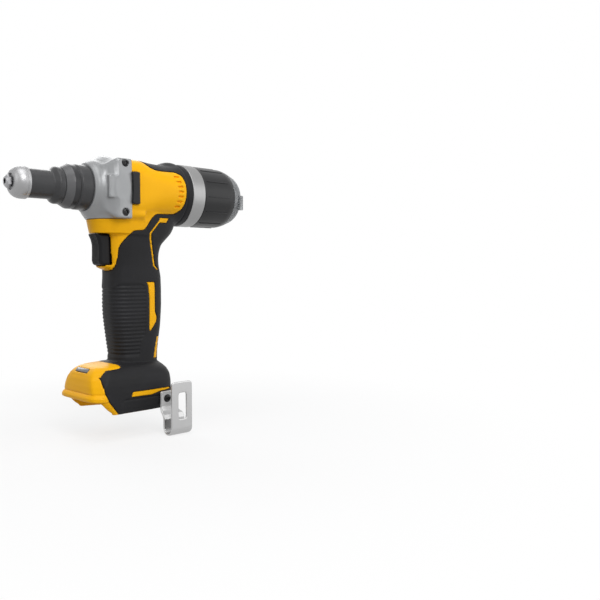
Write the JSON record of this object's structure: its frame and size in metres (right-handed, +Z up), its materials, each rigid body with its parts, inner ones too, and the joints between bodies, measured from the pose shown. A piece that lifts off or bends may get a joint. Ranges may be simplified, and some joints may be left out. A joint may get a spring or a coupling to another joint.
{
  "type": "battery rivet tool",
  "caption": "Pistol-grip battery rivet tool with a stepped nose, pulling jaws, rear mandrel collector, trigger and belt hook.",
  "frame": {"origin": "centre of the mouth of the nosepiece, on the pulling axis", "axes": "+X along the pulling axis towards the rear, +Z up, -Y the side that carries the belt hook"},
  "size_m": [0.253, 0.0936, 0.2735],
  "materials": {
    "steel": "ground",
    "polished_steel": "satin polished",
    "black_steel": "black oxide",
    "cast_alloy": "bead blasted",
    "bronze": "machined",
    "brass": "plated",
    "copper": "enamelled wire",
    "magnet": "nickel plated",
    "yellow_plastic": "moulded",
    "black_rubber": "textured",
    "black_plastic": "moulded",
    "clear_plastic": "smoky clear",
    "circuit_board": "solder mask"
  },
  "bodies": {
    "housing": {"nosepiece": "steel", "nose_cap": "polished_steel", "nose_tube": "black_steel", "nose_adapter": "black_steel", "collar_nut": "black_steel", "gear_case": "cast_alloy", "flange_screws": "black_steel", "thrust_washer_front": "steel", "thrust_balls": "steel", "nut_bush": "bronze", "ring_gear": "steel", "gearbox_sleeve": "cast_alloy", "motor_plate": "cast_alloy", "front_bearing": "steel", "stator_core": "steel", "stator_coils": "copper", "rear_bearing": "steel", "rear_bracket": "black_plastic", "rear_band": "black_rubber", "rear_ring": "cast_alloy", "left_housing": "yellow_plastic", "right_housing": "yellow_plastic", "left_grip": "black_rubber", "right_grip": "black_rubber", "side_bumpers": "black_rubber", "shell_screws": "black_steel", "trigger_switch": "black_plastic", "control_board": "circuit_board", "led_lens": "clear_plastic", "terminal_block": "black_plastic", "terminal_blades": "brass", "belt_hook": "polished_steel", "hook_screw": "black_steel", "hook_inserts": "brass"},
    "pulling_head": {"jaw_case": "steel", "jaw_lock_nut": "steel", "guide_pins": "steel", "ball_screw": "steel", "mandrel_tube": "steel"},
    "jaw_a": {"jaw_1": "steel"},
    "jaw_b": {"jaw_2": "steel"},
    "jaw_c": {"jaw_3": "steel"},
    "pusher": {"jaw_pusher": "steel", "jaw_spring": "steel"},
    "nut": {"ball_nut": "steel", "nut_balls": "steel", "thrust_washer_rear": "steel", "planet_carrier": "steel"},
    "rotor": {"sun_gear": "steel", "rotor_core": "steel", "rotor_magnets": "magnet", "motor_shaft": "steel", "cooling_fan": "black_plastic"},
    "planet_a": {"planet_1": "steel"},
    "planet_b": {"planet_2": "steel"},
    "planet_c": {"planet_3": "steel"},
    "collector": {"collector_cup": "black_plastic", "collector_end": "clear_plastic", "collector_seal": "black_rubber"},
    "trigger": {"trigger": "black_plastic"}
  },
  "joints": [
    {"name": "rotor_spin", "type": "hinge", "parent": "housing", "child": "rotor", "pos_m": [0.16, 0, 0], "axis": [1, 0, 0], "range_deg": [0, 7201]},
    {"name": "nut_spin", "type": "hinge", "parent": "housing", "child": "nut", "pos_m": [0.1, 0, 0], "axis": [1, 0, 0], "range_deg": [0, 1801]},
    {"name": "pull_stroke", "type": "slide", "parent": "housing", "child": "pulling_head", "axis": [1, 0, 0], "range_m": [0, 0.025]},
    {"name": "jaw_a_slide", "type": "slide", "parent": "pulling_head", "child": "jaw_a", "axis": [-0.9781, -0.2079, 0], "range_m": [0, 0.0012], "stiffness_N_per_m": 400},
    {"name": "jaw_b_slide", "type": "slide", "parent": "pulling_head", "child": "jaw_b", "axis": [-0.9781, 0.104, -0.1801], "range_m": [0, 0.0012]},
    {"name": "jaw_c_slide", "type": "slide", "parent": "pulling_head", "child": "jaw_c", "axis": [-0.9781, 0.104, 0.1801], "range_m": [0, 0.0012]},
    {"name": "pusher_slide", "type": "slide", "parent": "pulling_head", "child": "pusher", "axis": [-1, 0, 0], "range_m": [0, 0.0012], "deforming": ["jaw_spring"]},
    {"name": "planet_a_spin", "type": "hinge", "parent": "nut", "child": "planet_a", "pos_m": [0.138, 0, -0.0144], "axis": [1, 0, 0], "range_deg": [-5401, 0]},
    {"name": "planet_b_spin", "type": "hinge", "parent": "nut", "child": "planet_b", "pos_m": [0.138, 0.01247, 0.0072], "axis": [1, 0, 0], "range_deg": [-5401, 0]},
    {"name": "planet_c_spin", "type": "hinge", "parent": "nut", "child": "planet_c", "pos_m": [0.138, -0.01247, 0.0072], "axis": [1, 0, 0], "range_deg": [-5401, 0]},
    {"name": "collector_twist", "type": "hinge", "parent": "housing", "child": "collector", "pos_m": [0.198, 0, 0], "axis": [1, 0, 0], "range_deg": [0, 35]},
    {"name": "trigger_pull", "type": "slide", "parent": "housing", "child": "trigger", "axis": [1, 0, 0], "range_m": [0, 0.007], "stiffness_N_per_m": 600}
  ],
  "couplings": [
    {"joint": "nut_spin", "follows": "pull_stroke", "rad_per_m": 1256.6},
    {"joint": "rotor_spin", "follows": "pull_stroke", "rad_per_m": 5026.5},
    {"joint": "planet_a_spin", "follows": "pull_stroke", "rad_per_m": -3769.9},
    {"joint": "planet_b_spin", "follows": "pull_stroke", "rad_per_m": -3769.9},
    {"joint": "planet_c_spin", "follows": "pull_stroke", "rad_per_m": -3769.9},
    {"joint": "jaw_b_slide", "follows": "jaw_a_slide", "ratio": 1},
    {"joint": "jaw_c_slide", "follows": "jaw_a_slide", "ratio": 1},
    {"joint": "pusher_slide", "follows": "jaw_a_slide", "ratio": 0.97815}
  ]
}
